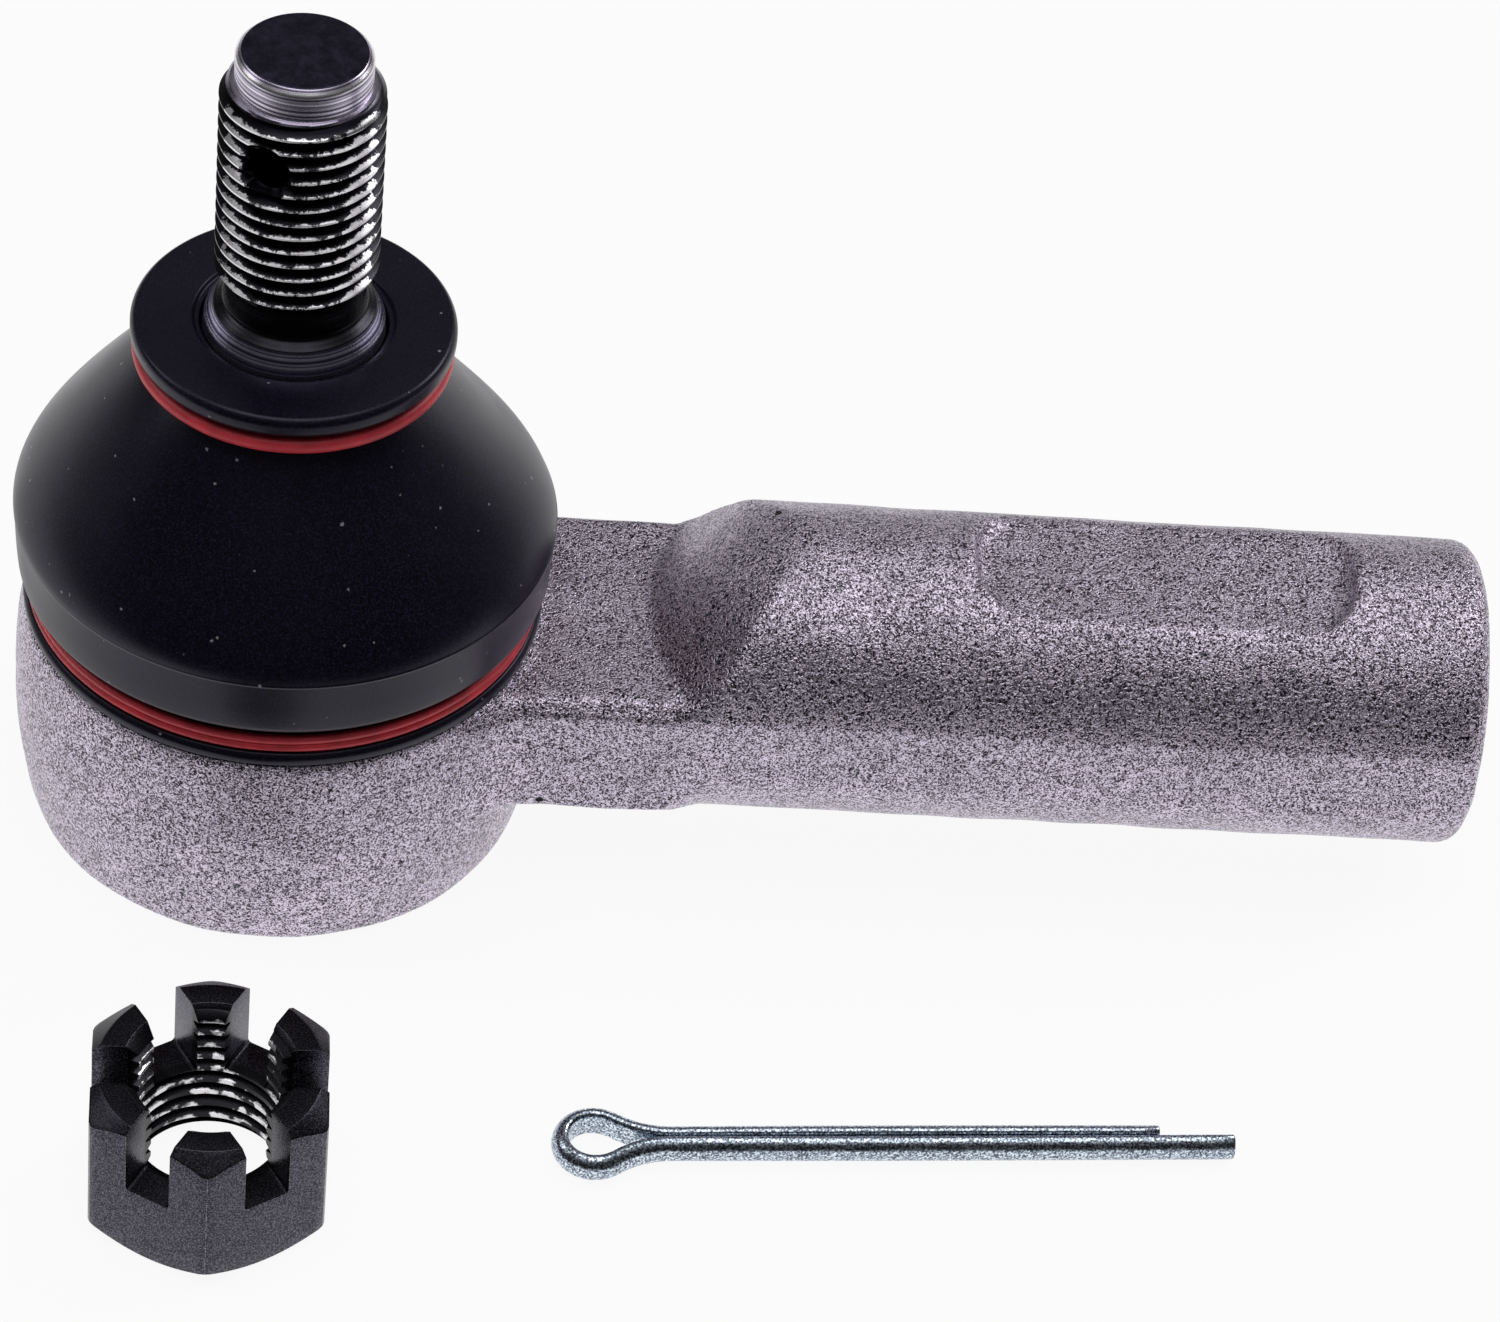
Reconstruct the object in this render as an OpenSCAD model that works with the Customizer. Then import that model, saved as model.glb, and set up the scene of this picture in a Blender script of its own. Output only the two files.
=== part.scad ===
// Outer tie rod end: a preloaded ball stud in a forged housing, with its
// dust boot, two boot rings, and the castle nut and cotter pin of the kit.
// Frame: origin at the centre of the base under the ball, +X along the shank,
// +Z along the stud. All sizes are in millimetres.

/* [Ball and seats] */
// Diameter of the ball
ball_d = 21; // [18:0.5:26]
// Distance from the ball's centre to the flat on its underside
ball_flat_h = 9.8; // [7.5:0.1:10.2]
// Wall of the two plastic seats round the ball
seat_wall = 2.6; // [1.8:0.1:3.5]
// Floor of the lower seat under the ball's flat
seat_floor = 2; // [1.2:0.1:3]
// Angle that the stud swings to each side
swing = 20; // [10:1:24]

/* [Base] */
// Thickness of the pressed end plate
plate_t = 1.4; // [1:0.1:2]
// Width of the end plate's flange, caught by the rolled lip
plate_flange = 2.2; // [1.5:0.1:3]
// Free height of the dished preload spring
spring_h = 1.8; // [1.2:0.1:3]
// Thickness of the spring's sheet
spring_t = 0.7; // [0.4:0.1:1]

/* [Cup] */
// Radius of the cup at its widest
cup_r = 20.4; // [18.5:0.1:26]
// Radius of the curve that the cup's wall follows from base to rim
cup_curve = 50; // [35:1:90]
// Height of the boot's shoulder above the ball's centre
rim_rise = 4; // [3:0.1:6]
// Height of the boot's neck above the shoulder
neck_h = 5; // [4.5:0.1:7]
// Width of the shoulder that the boot stands on
shoulder_w = 2.3; // [1.8:0.1:3]

/* [Web and shank] */
// Distance from the ball's centre to the shank's end
shank_len = 92.2; // [76:0.1:115]
// Diameter of the round shank
shank_d = 23.8; // [19:0.1:28.6]
// Depth of each of the shank's two side flats
flat_depth = 0.4; // [0.2:0.05:1.2]
// Height of the web's top above the shank's axis
web_up = 3.8; // [2:0.1:4.8]
// Depth of the web's underside below the shank's axis
web_down = 7.4; // [5:0.1:8.5]
// Distance from the ball's centre to the foot of the ramp on the shank
ramp_x = 28.2; // [26:0.1:36]
// Slope of the ramp's flank
ramp_angle = 46; // [38:1:60]
// Radius of the ramp's foot, seen from above
ramp_foot_r = 20.2; // [18:0.1:26]
// Radius of the curve from the ramp's flank to the top of the shank
ramp_crown = 12; // [6:0.5:14]
// Radius of the hollow at the foot of the ramp
ramp_fillet = 1.5; // [0.5:0.1:4]
// Radius of the blend between the cup and the web, seen from above
web_blend = 8; // [4:0.5:12]
// Depth of the pressed pad on top of the shank
pad_depth = 1.6; // [0.6:0.1:2]
// Distance from the shank's end to the pad
pad_inset = 10.5; // [8:0.1:16]
// Length of the pad
pad_len = 29; // [18:0.5:34]
// Minor diameter of the shank's M14 x 1.5 thread
shank_bore_d = 12.38; // [10:0.01:14]
// Length of the shank's thread
shank_thread_len = 42; // [30:0.5:50]

/* [Stud] */
// Major diameter of the stud's M12 x 1.25 thread
stud_d = 12; // [10:0.1:14.4]
// Length of the stud's thread
stud_thread_len = 16.5; // [13:0.1:20]
// Diameter of the stud's neck over the ball
neck_d = 11.2; // [9:0.1:12]
// Diameter of the taper's small end
taper_d = 13.3; // [12.4:0.1:16]
// Length of the taper
taper_len = 15; // [12:0.5:18]
// Height of the taper's small end above the ball's centre
taper_top = 31.2; // [30:0.1:38]
// Length of the undercut between the taper and the thread
undercut_len = 3.4; // [2:0.1:5]
// Diameter of the plain pilot at the stud's tip
pilot_d = 9.9; // [8:0.1:10.4]
// Length of the pilot
pilot_len = 2.6; // [1.5:0.1:4]
// Diameter of the cotter hole
cotter_hole_d = 3.2; // [2.5:0.1:4]
// Distance from the stud's tip to the cotter hole
cotter_hole_drop = 7; // [5:0.1:9]

/* [Dust boot] */
// How far the boot's parting line stands out past the cup
boot_bulge = 0; // [-0.3:0.1:2]
// Wall of the boot
boot_wall = 1.7; // [1.2:0.1:2.4]
// Height of the parting line above the shoulder
seam_h = 8.3; // [7:0.1:10]
// Height of the boot's top face above the shoulder
boot_h = 26.9; // [25:0.1:31]
// Diameter of the boot's top disc
disc_d = 24; // [21:0.1:28]
// Thickness of the boot's top disc
disc_t = 1.7; // [1.2:0.1:2.4]
// Thickness of the ring under the disc
upper_ring_d = 1.4; // [0.8:0.1:2]
// Wire of the two-turn ring at the bottom
lower_ring_d = 0.75; // [0.5:0.05:1]

/* [Castle nut and cotter pin] */
// Width of the nut across its flats
nut_af = 17; // [16:0.1:20.4]
// Height of the nut
nut_h = 12.6; // [10.5:0.1:15.2]
// Depth of the nut's slots
slot_h = 6; // [3.5:0.1:7.2]
// Width of the nut's slots
slot_w = 3.6; // [3:0.1:4.5]
// Diameter of the closed cotter pin
pin_d = 2.5; // [2:0.1:3]
// Length of the cotter pin's long leg, with its eye
pin_long = 51; // [40:0.1:61]
// How much shorter the other leg is
pin_step = 5.6; // [2:0.1:8]

/* [Hidden] */
$fn = 96;
eps = 0.01;

// Clearances
running = 0.05; // ball in its seats, and rings in their grooves
slip = 0.1; // boot on the housing's neck, and on the stud's taper
seated = 0.04; // pieces pressed into the housing
sweep_gap = 0.35; // stud's neck to the mouth at full swing

// Sockets
ball_r = ball_d / 2;
seat_r = ball_r + seat_wall;
cavity_r = seat_r + seated;
plate_r = seat_r + plate_flange;
seat_z = plate_t + spring_h;
ball_z = seat_z + seat_floor + ball_flat_h;
rim_z = ball_z + rim_rise;
neck_z = rim_z + neck_h;
belly_z = rim_z * 0.58;
rim_r = cup_r - 0.9;
neck_r = rim_r - shoulder_w;
neck_groove_depth = 0.7;
split_gap = 0.3;
base_roll = 1.4;

// Web and shank, on the ball's axis
shank_r = shank_d / 2;
web_w = shank_d - 2 * flat_depth;
web_top = ball_z + web_up;
web_bottom = ball_z - web_down;
web_edge = 0.8;
shank_round = 1.8;
blend_x = sqrt(pow(cup_r + web_blend, 2) - pow(web_w / 2 + web_blend, 2));
corner_r = norm([web_w / 2, web_down]);
neck_end_x = ramp_x + 5;
under_run = 6;
nose_x = ramp_x + ramp_foot_r;
crest = shank_r + 0.15;
countersink = 1.1;
drill_tip = 3.6;

// Stud, measured up from the base
taper_rate = 1 / 16; // radius for length: a 1 : 8 taper
undercut_depth = 0.8;
taper_z = ball_z + taper_top;
thread_z = taper_z + 1.3 + undercut_len;
pilot_z = thread_z + stud_thread_len;
stud_top = pilot_z + pilot_len;
cotter_z = stud_top - cotter_hole_drop;
cotter_angle = -115;
function taper_r(z) = taper_d / 2 + (taper_z - z) * taper_rate;
function sweep_r(h) = h * tan(swing) + neck_d / 2 / cos(swing) + sweep_gap;

// Boot, measured up from the base
boot_r = cup_r + boot_bulge;
seam_z = rim_z + seam_h;
boot_top = rim_z + boot_h;
disc_r = disc_d / 2;
bead_h = 1.6;
bead_r = rim_r + 0.2;
ring_floor = bead_r - 1.15;
ring_z = rim_z + bead_h;
ring_band = 2 * lower_ring_d + 0.5;
skirt_z = ring_z + ring_band + 0.6;
groove_r = disc_r - upper_ring_d - 0.75;
groove_z = boot_top - disc_t - upper_ring_d;
dome_top = groove_z - 0.3;
dome_top_r = disc_r - 0.8;
dome_power = 1.36;
dome_steps = 14;
seam_w = 0.3;
seam_proud = 0.1;

// Places of the loose nut and pin on the surface the part stands on
nut_at = [-2.9, -44.2];
nut_turn = -87.9;
pin_at = [22.1, -39.7];
pin_turn = 3.9;
nut_bore_d = 10.7; // minor diameter of M12 x 1.25
nut_chamfer = 38;
nut_sink = 1;
eye_r = 1.9; // inside of the pin's eye
eye_flare = 8; // curve from the legs into the eye

// A bar along +X from x0 to x1, or a cone when r1 differs
module along_x(x0, x1, r0, r1 = undef)
    translate([x0, 0, 0]) rotate([0, 90, 0])
        cylinder(h = x1 - x0, r1 = r0, r2 = is_undef(r1) ? r0 : r1);

// A side outline drawn in X and Z, made as wide as w in Y
module side_plate(w)
    translate([0, w / 2, 0]) rotate([90, 0, 0]) linear_extrude(w) children();

// ---- Forged housing ----

// Radius of the cup's wall at height z: a shallow arc, widest at the belly
function cup_wall(z) = cup_r - pow(z - belly_z, 2) / (2 * cup_curve);

// The cup and the boot's neck, turned about Z
module cup_body() {
    steps = 8;
    rotate_extrude() polygon([
        [0, 0],
        [cup_wall(base_roll) - 0.75, 0],
        [cup_wall(base_roll) - 0.25, 0.5],
        for (i = [0 : steps])
            let (z = base_roll + i * (rim_z - base_roll - 0.7) / steps) [cup_wall(z), z],
        [rim_r + 0.3, rim_z - 0.1],
        [rim_r, rim_z],
        [neck_r, rim_z],
        [neck_r, ring_z - 0.2],
        [neck_r - neck_groove_depth, ring_z],
        [neck_r - neck_groove_depth, ring_z + ring_band],
        [neck_r, ring_z + ring_band + 0.4],
        [neck_r, neck_z - 0.6],
        [neck_r - 0.6, neck_z],
        [0, neck_z]
    ]);
}

// Web seen from above: a strip blended into the cup by two hollow arcs
module web_outline(inset) {
    half = web_w / 2 - inset;
    arc = web_blend + inset;
    reach = cup_r / (cup_r + web_blend);
    translate([0, -half]) square([neck_end_x, 2 * half]);
    for (side = [-1, 1])
        difference() {
            polygon([
                [0, 0],
                [blend_x, 0],
                [blend_x, side * half],
                [blend_x, side * (web_w / 2 + web_blend)] * reach
            ]);
            translate([blend_x, side * (half + arc)]) circle(r = arc);
        }
}

// Flat web between the cup and the shank, its long edges broken
module web() {
    intersection() {
        union() {
            translate([0, 0, web_bottom + web_edge])
                linear_extrude(web_top - web_bottom - 2 * web_edge) web_outline(0);
            translate([0, 0, web_bottom]) linear_extrude(web_top - web_bottom) web_outline(web_edge);
        }
        translate([0, 0, ball_z]) union() {
            along_x(0, neck_end_x - 5, corner_r + 8);
            along_x(neck_end_x - 5 - eps, neck_end_x, corner_r, shank_r);
        }
    }
}

// Side view of the shank without its ramp, the underside falling away from the web
module shank_side() {
    top = shank_r + 1;
    polygon([
        [ramp_x - under_run / 2, -web_down],
        [ramp_x - under_run / 2, 0],
        [nose_x, 0],
        [nose_x, top],
        [shank_len, top],
        [shank_len, -top],
        [ramp_x + under_run / 2, -top]
    ]);
}

// The ramp, turned about the upright line through nose_x: hollow foot, straight flank, round crown
module ramp_nose() {
    steps = 6;
    foot = ramp_foot_r + ramp_fillet * tan(ramp_angle / 2);
    flank_top = crest - ramp_crown * (1 - cos(ramp_angle));
    crown_r = ramp_foot_r - (flank_top - web_up) / tan(ramp_angle) - ramp_crown * sin(ramp_angle);
    translate([nose_x, 0, 0]) rotate_extrude() polygon([
        [0, -1],
        [foot, -1],
        for (i = [0 : steps]) let (a = i * ramp_angle / steps)
            [foot - ramp_fillet * sin(a), web_up + ramp_fillet * (1 - cos(a))],
        for (i = [steps : -1 : 0]) let (a = i * ramp_angle / steps)
            [crown_r + ramp_crown * sin(a), crest - ramp_crown * (1 - cos(a))],
        [0, crest]
    ]);
}

// The round bar that the shank is cut from, with its rounded end
module shank_bar() {
    along_x(0, shank_len - shank_round, shank_r);
    translate([shank_len - shank_round, 0, 0]) rotate([0, 90, 0]) rotate_extrude() intersection() {
        square([shank_r, shank_round]);
        union() {
            square([shank_r - shank_round, shank_round]);
            translate([shank_r - shank_round, 0]) circle(r = shank_round);
        }
    }
}

// Round shank with its ramp and two side flats
module shank() {
    translate([0, 0, ball_z]) intersection() {
        translate([0, -web_w / 2, -shank_d]) cube([shank_len + 1, web_w, 2 * shank_d]);
        union() {
            side_plate(shank_d + 2) shank_side();
            ramp_nose();
        }
        shank_bar();
    }
}

// Shallow pad with round corners pressed into the top of the shank
module pad_cut() {
    half = sqrt(pow(shank_r, 2) - pow(shank_r - pad_depth, 2)) + 0.3;
    corner = 0.8 * half;
    steps = 8;
    translate([shank_len - pad_inset - pad_len, 0, ball_z + shank_r - pad_depth])
        linear_extrude(2 * pad_depth) polygon([
            for (quarter = [0 : 3], i = [0 : steps])
                let (a = 90 * (quarter + i / steps))
                    [(quarter % 3 == 0 ? pad_len - corner : corner) + corner * cos(a),
                        (quarter < 2 ? 1 : -1) * (half - corner) + corner * sin(a)]
        ]);
}

// Drilled, countersunk hole for the tie rod's thread
module shank_bore() {
    r = shank_bore_d / 2;
    translate([0, 0, ball_z]) {
        along_x(shank_len - shank_thread_len, shank_len + 1, r);
        along_x(shank_len - shank_thread_len - drill_tip, shank_len - shank_thread_len + eps, 0, r);
        along_x(shank_len - countersink, shank_len + eps, r, r + countersink);
    }
}

// The space that the stud's neck sweeps, from height h0 to h1 over the ball's centre
module neck_sweep(h0, h1)
    translate([0, 0, ball_z + h0]) cylinder(h = h1 - h0, r1 = sweep_r(h0), r2 = sweep_r(h1));

// Room in the cup for the seats, the spring and the end plate
module socket_cut() {
    translate([0, 0, -eps]) cylinder(h = plate_t + 2 * eps, r = seat_r);
    translate([0, 0, plate_t]) cylinder(h = plate_t, r = plate_r + seated);
    translate([0, 0, plate_t]) cylinder(h = ball_z - plate_t, r = cavity_r);
    intersection() {
        translate([0, 0, ball_z]) sphere(r = cavity_r, $fn = 48);
        translate([0, 0, ball_z - eps]) cylinder(h = cavity_r + 1, r = cavity_r + 1);
    }
    neck_sweep(ball_r / 2, neck_z - ball_z + 1);
}

module housing() {
    color("#8c8790") difference() {
        union() {
            cup_body();
            web();
            shank();
        }
        socket_cut();
        shank_bore();
        pad_cut();
    }
}

// ---- Pieces inside the cup ----

// Upper seat: a plastic ring that holds the ball down, open for the stud
module upper_bearing() {
    top = ball_r * 0.72;
    color("#e9e4d2") difference() {
        intersection() {
            translate([0, 0, ball_z]) sphere(r = seat_r);
            translate([0, 0, ball_z + split_gap / 2]) cylinder(h = top, r = seat_r + 1);
        }
        translate([0, 0, ball_z]) sphere(r = ball_r + running);
        neck_sweep(ball_r / 2, ball_r);
    }
}

// Lower seat: a plastic cup that the spring presses up against the ball
module lower_bearing() {
    color("#e9e4d2") difference() {
        translate([0, 0, seat_z]) cylinder(h = ball_z - split_gap / 2 - seat_z, r = seat_r);
        translate([0, 0, ball_z]) sphere(r = ball_r + running);
        translate([0, 0, seat_z - eps]) cylinder(h = 0.8, r = 2.5);
    }
}

// Dished spring between the end plate and the lower seat
module preload_spring() {
    outer = seat_r - plate_t - 0.3;
    inner = outer * 0.45;
    color("#a9abad") rotate_extrude() polygon([
        [outer, plate_t],
        [outer, plate_t + spring_t],
        [inner + 0.4, seat_z],
        [inner, seat_z],
        [inner, seat_z - spring_t],
        [outer - 0.4, plate_t]
    ]);
}

// Pressed end plate: its middle is flush with the base, its flange is caught by the lip
module end_plate() {
    color("#b9bab8") rotate_extrude() polygon([
        [0, 0],
        [seat_r - seated, 0],
        [seat_r - seated, plate_t],
        [plate_r, plate_t],
        [plate_r, 2 * plate_t - eps],
        [seat_r - plate_t, 2 * plate_t - eps],
        [seat_r - plate_t, plate_t],
        [0, plate_t]
    ]);
}

// ---- Ball stud ----

// Turned stud above the ball: neck, taper, undercut, thread and pilot
module stud_shaft() {
    neck = neck_d / 2;
    thread = stud_d / 2;
    pilot = pilot_d / 2;
    taper_base = taper_z - taper_len;
    chamfer = 0.7;
    rotate_extrude() polygon([
        [0, ball_z],
        [neck, ball_z],
        [neck, taper_base - 2],
        [taper_r(taper_base) - 0.6, taper_base - 0.6],
        [taper_r(taper_base), taper_base],
        [taper_r(taper_z), taper_z],
        [taper_r(taper_z) - 0.6, taper_z + 1.3],
        [thread - undercut_depth, taper_z + 1.7],
        [thread - undercut_depth, thread_z - undercut_depth],
        [thread, thread_z],
        [thread, pilot_z - chamfer],
        [thread - chamfer, pilot_z],
        [pilot, pilot_z],
        [pilot, stud_top - 0.5],
        [pilot - 0.4, stud_top],
        [0, stud_top]
    ]);
}

// Cross hole for the cotter pin, countersunk at both ends
module cotter_hole() {
    r = cotter_hole_d / 2;
    reach = stud_d / 2;
    sink = 0.9;
    translate([0, 0, cotter_z]) rotate([0, 0, cotter_angle]) {
        along_x(-reach - 1, reach + 1, r);
        along_x(reach - sink, reach + 1, r, r + sink + 1);
        along_x(-reach - 1, sink - reach, r + sink + 1, r);
    }
}

module ball_stud() {
    color("#2a2a2e") difference() {
        union() {
            difference() {
                translate([0, 0, ball_z]) sphere(r = ball_r);
                translate([-ball_r, -ball_r, ball_z - ball_flat_h - ball_r])
                    cube([ball_d, ball_d, ball_r]);
            }
            stud_shaft();
        }
        cotter_hole();
    }
}

// ---- Dust boot and its rings ----

// Share of the dome's swell left at s, from 0 at the parting line to 1 under the ring
function dome(s) = 1 - pow(s, dome_power);

// Points up a dome from radius r0 at z0 to radius r1 at z1
function dome_arc(r0, z0, r1, z1) = [
    for (i = [0 : dome_steps]) let (s = i / dome_steps) [r1 + (r0 - r1) * dome(s), z0 + s * (z1 - z0)]
];

// Reverses a list of points
function back(points) = [for (i = [len(points) - 1 : -1 : 0]) points[i]];

// The rubber boot: bead, ring groove, rolled skirt, dome, upper groove and disc
module dust_boot() {
    foot = neck_r + slip;
    grip = foot - neck_groove_depth;
    lip_z = dome_top - 0.4;
    color("#17171b") rotate_extrude() polygon([
        [foot, rim_z + slip],
        [bead_r, rim_z + slip],
        [bead_r, ring_z - 0.15],
        [bead_r - 0.15, ring_z],
        [ring_floor, ring_z],
        [ring_floor, ring_z + ring_band],
        [boot_r - 0.9, skirt_z - 0.2],
        [boot_r - 0.6, skirt_z],
        [boot_r - 0.2, skirt_z + 1.5],
        [boot_r, seam_z - seam_w],
        [boot_r + seam_proud, seam_z - seam_w / 2],
        [boot_r + seam_proud, seam_z + seam_w / 2],
        each dome_arc(boot_r, seam_z + seam_w, dome_top_r, dome_top),
        [groove_r + 0.4, groove_z],
        [groove_r, groove_z + 0.2],
        [groove_r, groove_z + upper_ring_d],
        [disc_r - 0.5, groove_z + upper_ring_d + 0.1],
        [disc_r, boot_top - disc_t / 2],
        [disc_r, boot_top - 0.4],
        [disc_r - 0.3, boot_top],
        [taper_r(boot_top) + 0.55, boot_top],
        [taper_r(boot_top) + slip, boot_top - 0.7],
        [taper_r(lip_z) + slip, lip_z],
        each back(dome_arc(boot_r - boot_wall, seam_z, dome_top_r - boot_wall, dome_top - boot_wall)),
        [boot_r - boot_wall - 0.2, neck_z + 0.4],
        [foot, neck_z - 0.4],
        [foot, ring_z + ring_band + 0.4],
        [grip, ring_z + ring_band],
        [grip, ring_z + slip],
        [foot, ring_z - 0.2 + slip]
    ]);
}

// Single red ring in the groove under the disc
module upper_ring() {
    wire = upper_ring_d / 2 - running;
    color("#b0303a") rotate_extrude()
        translate([groove_r + running + wire, groove_z + upper_ring_d / 2]) circle(r = wire);
}

// Two turns of red wire that clamp the boot's bead to the housing's neck
module lower_ring() {
    wire = lower_ring_d / 2;
    overlap = 0.04;
    color("#b0303a") rotate_extrude()
        for (turn = [0, 1])
            translate([ring_floor + running + wire, ring_z + running + wire + turn * (lower_ring_d - overlap)])
                circle(r = wire);
}

// ---- Loose pieces of the kit ----

// Hexagon with its corners chamfered at both ends
module hex_blank() {
    corner = nut_af / 2 / cos(30);
    skew = (corner - nut_af / 2 + 0.4) * tan(nut_chamfer);
    intersection() {
        cylinder(h = nut_h, r = corner, $fn = 6);
        rotate_extrude() polygon([
            [0, 0],
            [nut_af / 2 - 0.4, 0],
            [corner + eps, skew],
            [corner + eps, nut_h - skew],
            [nut_af / 2 - 0.4, nut_h],
            [0, nut_h]
        ]);
    }
}

module castle_nut() {
    r = nut_bore_d / 2;
    color("#2c2c32") translate([nut_at.x, nut_at.y, 0]) rotate([0, 0, nut_turn]) difference() {
        hex_blank();
        translate([0, 0, -1]) cylinder(h = nut_h + 2, r = r);
        translate([0, 0, -eps]) cylinder(h = nut_sink, r1 = r + nut_sink, r2 = r);
        translate([0, 0, nut_h - nut_sink + eps]) cylinder(h = nut_sink, r1 = r, r2 = r + nut_sink);
        translate([0, 0, nut_h - slot_h]) linear_extrude(slot_h + 1)
            for (turn = [30, 90, 150])
                rotate(turn) translate([-nut_af, -slot_w / 2]) square([2 * nut_af, slot_w]);
    }
}

// Half-round wire, its flat side on the line at distance r from the Y axis
module half_wire(r, outward) {
    wire = pin_d / 2;
    intersection() {
        translate([r, 0]) circle(r = wire);
        translate([outward ? r : r - wire, -wire]) square([wire, pin_d]);
    }
}

// One side of the split pin: half the eye, the flare and a straight leg
module pin_half(leg_end) {
    wire = pin_d / 2;
    eye_x = eye_r + wire;
    flare_x = eye_x + sqrt(pow(eye_r, 2) + 2 * eye_r * eye_flare);
    turn = atan2(eye_flare, flare_x - eye_x);
    translate([eye_x, 0, 0]) rotate([0, 0, turn])
        rotate_extrude(angle = 180 - turn) half_wire(eye_r, true);
    translate([flare_x, eye_flare, 0]) rotate([0, 0, turn - 180])
        rotate_extrude(angle = 90 - turn) half_wire(eye_flare, false);
    translate([flare_x, 0, 0]) rotate([90, 0, 90]) linear_extrude(leg_end - flare_x)
        half_wire(0, true);
}

module cotter_pin() {
    color("#c3c9d2") translate([pin_at.x, pin_at.y, pin_d / 2]) rotate([0, 0, pin_turn]) {
        pin_half(pin_long - pin_step);
        mirror([0, 1, 0]) pin_half(pin_long);
    }
}

housing();
upper_bearing();
lower_bearing();
preload_spring();
end_plate();
ball_stud();
dust_boot();
upper_ring();
lower_ring();
castle_nut();
cotter_pin();
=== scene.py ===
"""Tie rod end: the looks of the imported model, laid out as a Blender add-on."""

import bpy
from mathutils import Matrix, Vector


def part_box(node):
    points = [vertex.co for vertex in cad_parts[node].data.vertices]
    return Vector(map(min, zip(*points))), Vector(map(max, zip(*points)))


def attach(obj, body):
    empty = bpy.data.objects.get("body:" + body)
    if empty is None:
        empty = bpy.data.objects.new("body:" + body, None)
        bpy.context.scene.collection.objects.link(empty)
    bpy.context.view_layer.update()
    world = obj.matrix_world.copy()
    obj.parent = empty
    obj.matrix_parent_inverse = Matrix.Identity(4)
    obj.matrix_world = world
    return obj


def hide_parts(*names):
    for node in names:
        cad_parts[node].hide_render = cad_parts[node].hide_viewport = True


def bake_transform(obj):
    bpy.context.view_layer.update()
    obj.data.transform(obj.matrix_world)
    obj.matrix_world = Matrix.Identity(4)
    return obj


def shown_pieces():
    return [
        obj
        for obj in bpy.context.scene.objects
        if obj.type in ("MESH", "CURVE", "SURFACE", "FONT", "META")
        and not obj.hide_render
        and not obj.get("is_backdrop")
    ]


bl_info = {
    "name": "Tie Rod End",
    "version": (1, 0, 0),
    "blender": (4, 5, 0),
    "location": "3D View > Sidebar > Tie Rod End",
    "description": "Forged housing, ball stud, dust boot, castle nut and split pin over the packed frame",
    "category": "Object",
}

import bmesh
import bpy
import numpy as np
from bpy.props import FloatProperty, FloatVectorProperty, IntProperty, PointerProperty
from bpy.types import Operator, Panel, PropertyGroup
from mathutils import Matrix, Vector
from mathutils.bvhtree import BVHTree

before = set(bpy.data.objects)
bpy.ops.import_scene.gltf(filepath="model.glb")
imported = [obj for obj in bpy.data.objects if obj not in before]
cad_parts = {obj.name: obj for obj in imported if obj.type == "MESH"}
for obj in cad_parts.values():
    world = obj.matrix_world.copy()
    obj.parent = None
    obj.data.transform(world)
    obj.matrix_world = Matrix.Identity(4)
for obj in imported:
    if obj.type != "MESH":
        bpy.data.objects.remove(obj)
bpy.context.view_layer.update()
MM = 0.001


def measures(node):
    """Lowest and highest corner of a CAD node in millimetres."""
    low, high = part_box(node)
    return np.array(low) / MM, np.array(high) / MM


# ---- Places that several pieces share, in millimetres ----

HOUSING_LOW, HOUSING_HIGH = measures("housing")
STUD_FOOT, STUD_TIP = (corner[2] for corner in measures("ball_stud"))
BOOT_TOP = measures("dust_boot")[1][2]
NUT_LOW, NUT_HIGH = measures("castle_nut")
NUT_MIDDLE = ((NUT_LOW + NUT_HIGH) / 2)[:2].tolist()

BALL_Z = 15.0  # the ball's centre, and the shank's middle line
STUD_R = 6.0  # the stud's thread at its crests
TAPER_TOP = 47.4
THREAD_LOW, THREAD_HIGH = STUD_TIP - 19.5, STUD_TIP - 2.6
HOLE_Z, HOLE_TURN = STUD_TIP - 7.0, np.radians(-115)  # the cotter hole
SEAM_Z = 27.7  # the boot's parting line
DISC_SIDE_Z = 44.3  # the boot's disc alone is above this
PAD_Z = 25.3  # the floor of the pressed pad

# ---- Photograph frame and its measured points ----

PHOTO_W, PHOTO_H = 1500, 1322
LONG_SIDE = max(PHOTO_W, PHOTO_H)

# name: (x, y) in the photograph; None where only the other one is an edge
IMAGE_POINTS = {
    "stud_top": (None, 13),
    "stud_pilot_left": (234, None),
    "disc_left": (131.5, None),
    "disc_right": (459, None),
    "boot_left": (13, None),
    "boot_right": (555, None),
    "housing_bottom": (None, 940),
    "shank_right": (1487, None),
    "pad_far_left": (975, 540),
    "pad_near_left": (1003, 613),
    "cotter_hole": (263, 175),
    "nut_left": (87, None),
    "nut_right": (331, None),
    "nut_bottom": (None, 1275),
    "pin_eye_left": (552, None),
    "pin_long_tip": (1231, None),
}


def linear(code):
    """Linear colour of an sRGB hex value."""
    value = np.array([int(code[i : i + 2], 16) for i in (1, 3, 5)]) / 255
    return np.where(value <= 0.04045, value / 12.92, ((value + 0.055) / 1.055) ** 2.4).tolist()


# ---- Sizes and colours that a user may change ----


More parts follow.
